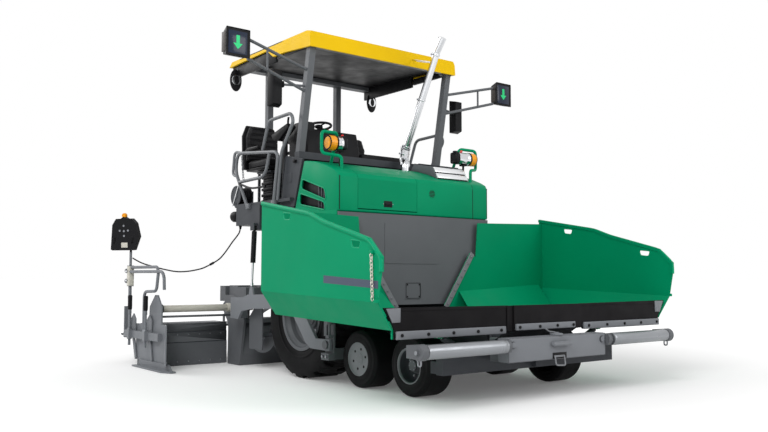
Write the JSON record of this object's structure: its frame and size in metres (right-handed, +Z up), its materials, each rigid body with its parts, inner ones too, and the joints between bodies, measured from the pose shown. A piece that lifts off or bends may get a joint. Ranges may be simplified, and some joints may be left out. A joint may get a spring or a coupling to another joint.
{
  "type": "wheeled asphalt paver",
  "caption": "Compact wheeled asphalt paver with folding hopper wings, push rollers, canopy, augers and an extending screed.",
  "frame": {"origin": "on the ground, half way along the machine's length and width", "axes": "+X forwards to the hopper and push rollers, +Y to the driver's left, +Z up"},
  "size_m": [4.706, 3.6435, 3.262],
  "materials": {
    "green_paint": "gloss, used",
    "grey_paint": "satin",
    "frame_paint": "satin",
    "rail_paint": "satin",
    "yellow_shell": "gloss",
    "worn_steel": "worn bright",
    "cast_iron": "matt",
    "chrome": "polished",
    "black_plastic": "matt",
    "seat_leather": "satin",
    "apron_rubber": "matt",
    "cable_rubber": "matt",
    "tyre": "matt, dusty"
  },
  "bodies": {
    "chassis": {"main_frame": "frame_paint", "wing_hinges": "frame_paint", "tow_points": "grey_paint", "bogie": "frame_paint", "conveyor": "worn_steel", "bulkhead": "frame_paint", "engine_block": "cast_iron", "hood": "green_paint", "cooler_box": "grey_paint", "exhaust": "chrome", "deck": "grey_paint", "console": "black_plastic", "seats": "seat_leather", "handrails": "rail_paint", "canopy_roof": "yellow_shell", "canopy_frame": "grey_paint", "lamps_and_mirrors": "black_plastic", "apron_centre": "apron_rubber", "auger_frame": "grey_paint", "cable_inner": "cable_rubber"},
    "hood_lid": {"hood_lid": "green_paint"},
    "push_beam": {"push_beam": "frame_paint"},
    "screed": {"screed_arms": "grey_paint", "screed_base": "grey_paint", "cable_connector": "black_plastic", "cable_outer": "cable_rubber"},
    "rear_wheel_right": {"tyre_rear_right": "tyre", "rim_rear_right": "grey_paint"},
    "knuckle_front_right": {"knuckle_front_right": "frame_paint"},
    "wheel_front_right": {"wheel_front_right": "tyre"},
    "knuckle_middle_right": {"knuckle_middle_right": "frame_paint"},
    "wheel_middle_right": {"wheel_middle_right": "tyre"},
    "wing_right": {"wing_right": "green_paint", "apron_right": "apron_rubber"},
    "wing_barrel_right": {"wing_barrel_right": "frame_paint"},
    "wing_rod_right": {"wing_rod_right": "chrome"},
    "push_roller_right": {"push_roller_right": "worn_steel"},
    "auger_right": {"auger_right": "worn_steel"},
    "lift_barrel_right": {"lift_barrel_right": "frame_paint"},
    "lift_rod_right": {"lift_rod_right": "chrome"},
    "extension_right": {"extension_right": "grey_paint", "end_plate_right": "grey_paint", "remote_console_right": "black_plastic"},
    "rear_wheel_left": {"tyre_rear_left": "tyre", "rim_rear_left": "grey_paint"},
    "knuckle_front_left": {"knuckle_front_left": "frame_paint"},
    "wheel_front_left": {"wheel_front_left": "tyre"},
    "knuckle_middle_left": {"knuckle_middle_left": "frame_paint"},
    "wheel_middle_left": {"wheel_middle_left": "tyre"},
    "wing_left": {"wing_left": "green_paint", "apron_left": "apron_rubber"},
    "wing_barrel_left": {"wing_barrel_left": "frame_paint"},
    "wing_rod_left": {"wing_rod_left": "chrome"},
    "push_roller_left": {"push_roller_left": "worn_steel"},
    "auger_left": {"auger_left": "worn_steel"},
    "lift_barrel_left": {"lift_barrel_left": "frame_paint"},
    "lift_rod_left": {"lift_rod_left": "chrome"},
    "extension_left": {"extension_left": "grey_paint", "end_plate_left": "grey_paint", "remote_console_left": "black_plastic"}
  },
  "joints": [
    {"name": "rear_wheel_right_spin", "type": "hinge", "parent": "chassis", "child": "rear_wheel_right", "pos_m": [0.11, -0.7285, 0.546], "axis": [0, 1, 0], "continuous": true},
    {"name": "steer_front_right", "type": "hinge", "parent": "chassis", "child": "knuckle_front_right", "pos_m": [1.595, -0.6, 0.2325], "axis": [0, 0, 1], "range_deg": [-20, 20]},
    {"name": "wheel_front_right_spin", "type": "hinge", "parent": "knuckle_front_right", "child": "wheel_front_right", "pos_m": [1.595, -0.753, 0.2325], "axis": [0, 1, 0], "continuous": true},
    {"name": "steer_middle_right", "type": "hinge", "parent": "chassis", "child": "knuckle_middle_right", "pos_m": [0.953, -0.6, 0.2325], "axis": [0, 0, 1], "range_deg": [-12, 12]},
    {"name": "wheel_middle_right_spin", "type": "hinge", "parent": "knuckle_middle_right", "child": "wheel_middle_right", "pos_m": [0.953, -0.753, 0.2325], "axis": [0, 1, 0], "continuous": true},
    {"name": "wing_right_fold", "type": "hinge", "parent": "chassis", "child": "wing_right", "pos_m": [1.45, -0.47, 0.52], "axis": [-1, 0, 0], "range_deg": [0, 63]},
    {"name": "wing_barrel_right_swing", "type": "hinge", "parent": "chassis", "child": "wing_barrel_right", "pos_m": [1.95, -0.52, 0.3], "axis": [-1, 0, 0], "range_deg": [0, 49.09]},
    {"name": "wing_rod_right_slide", "type": "slide", "parent": "wing_barrel_right", "child": "wing_rod_right", "axis": [0, -0.9056, 0.4242], "range_m": [0, 0.2039]},
    {"name": "push_roller_right_spin", "type": "hinge", "parent": "push_beam", "child": "push_roller_right", "pos_m": [2.313, -0.972, 0.41], "axis": [0, 1, 0], "continuous": true},
    {"name": "auger_right_spin", "type": "hinge", "parent": "chassis", "child": "auger_right", "pos_m": [-0.87, -0.45, 0.3], "axis": [0, 1, 0], "continuous": true},
    {"name": "lift_barrel_right_swing", "type": "hinge", "parent": "chassis", "child": "lift_barrel_right", "pos_m": [-0.64, -0.9545, 1.36], "axis": [0, 1, 0], "range_deg": [-7.48, 0]},
    {"name": "lift_rod_right_slide", "type": "slide", "parent": "lift_barrel_right", "child": "lift_rod_right", "axis": [-0.0683, 0, -0.9977], "range_m": [-0.169, 0]},
    {"name": "extension_right_slide", "type": "slide", "parent": "screed", "child": "extension_right", "axis": [0, 1, 0], "range_m": [0, 0.78], "deforming": ["cable_outer"]},
    {"name": "rear_wheel_left_spin", "type": "hinge", "parent": "chassis", "child": "rear_wheel_left", "pos_m": [0.11, 0.7285, 0.546], "axis": [0, 1, 0], "continuous": true},
    {"name": "steer_front_left", "type": "hinge", "parent": "chassis", "child": "knuckle_front_left", "pos_m": [1.595, 0.6, 0.2325], "axis": [0, 0, 1], "range_deg": [-20, 20]},
    {"name": "wheel_front_left_spin", "type": "hinge", "parent": "knuckle_front_left", "child": "wheel_front_left", "pos_m": [1.595, 0.753, 0.2325], "axis": [0, 1, 0], "continuous": true},
    {"name": "steer_middle_left", "type": "hinge", "parent": "chassis", "child": "knuckle_middle_left", "pos_m": [0.953, 0.6, 0.2325], "axis": [0, 0, 1], "range_deg": [-12, 12]},
    {"name": "wheel_middle_left_spin", "type": "hinge", "parent": "knuckle_middle_left", "child": "wheel_middle_left", "pos_m": [0.953, 0.753, 0.2325], "axis": [0, 1, 0], "continuous": true},
    {"name": "wing_left_fold", "type": "hinge", "parent": "chassis", "child": "wing_left", "pos_m": [1.45, 0.47, 0.52], "axis": [1, 0, 0], "range_deg": [0, 63]},
    {"name": "wing_barrel_left_swing", "type": "hinge", "parent": "chassis", "child": "wing_barrel_left", "pos_m": [1.95, 0.52, 0.3], "axis": [1, 0, 0], "range_deg": [0, 49.09]},
    {"name": "wing_rod_left_slide", "type": "slide", "parent": "wing_barrel_left", "child": "wing_rod_left", "axis": [0, 0.9056, 0.4242], "range_m": [0, 0.2039]},
    {"name": "push_roller_left_spin", "type": "hinge", "parent": "push_beam", "child": "push_roller_left", "pos_m": [2.313, 0.972, 0.41], "axis": [0, 1, 0], "continuous": true},
    {"name": "auger_left_spin", "type": "hinge", "parent": "chassis", "child": "auger_left", "pos_m": [-0.87, 0.45, 0.3], "axis": [0, 1, 0], "continuous": true},
    {"name": "lift_barrel_left_swing", "type": "hinge", "parent": "chassis", "child": "lift_barrel_left", "pos_m": [-0.64, 0.9545, 1.36], "axis": [0, 1, 0], "range_deg": [-7.48, 0]},
    {"name": "lift_rod_left_slide", "type": "slide", "parent": "lift_barrel_left", "child": "lift_rod_left", "axis": [-0.0683, 0, -0.9977], "range_m": [-0.169, 0]},
    {"name": "extension_left_slide", "type": "slide", "parent": "screed", "child": "extension_left", "axis": [0, -1, 0], "range_m": [0, 0.78]},
    {"name": "push_beam_rock", "type": "hinge", "parent": "chassis", "child": "push_beam", "pos_m": [2.085, 0, 0.315], "axis": [0, 0, 1], "range_deg": [-4, 4]},
    {"name": "screed_lift", "type": "hinge", "parent": "chassis", "child": "screed", "pos_m": [0.62, 0, 0.33], "axis": [0, 1, 0], "range_deg": [0, 7.5], "deforming": ["cable_inner"]},
    {"name": "hood_lid_open", "type": "hinge", "parent": "chassis", "child": "hood_lid", "pos_m": [0.308, -0.3525, 1.912], "axis": [0, -1, 0], "range_deg": [0, 60]}
  ],
  "couplings": [
    {"joint": "wing_barrel_right_swing", "follows": "wing_right_fold", "ratio": 0.76963},
    {"joint": "wing_rod_right_slide", "follows": "wing_right_fold", "m_per_rad": 0.18366},
    {"joint": "lift_barrel_right_swing", "follows": "screed_lift", "ratio": -0.95708},
    {"joint": "lift_rod_right_slide", "follows": "screed_lift", "m_per_rad": -1.2761},
    {"joint": "wing_barrel_left_swing", "follows": "wing_left_fold", "ratio": 0.76963},
    {"joint": "wing_rod_left_slide", "follows": "wing_left_fold", "m_per_rad": 0.18366},
    {"joint": "lift_barrel_left_swing", "follows": "screed_lift", "ratio": -0.95708},
    {"joint": "lift_rod_left_slide", "follows": "screed_lift", "m_per_rad": -1.2761},
    {"joint": "steer_front_left", "follows": "steer_front_right", "ratio": 1},
    {"joint": "steer_middle_right", "follows": "steer_front_right", "ratio": 0.57},
    {"joint": "steer_middle_left", "follows": "steer_front_right", "ratio": 0.57}
  ]
}
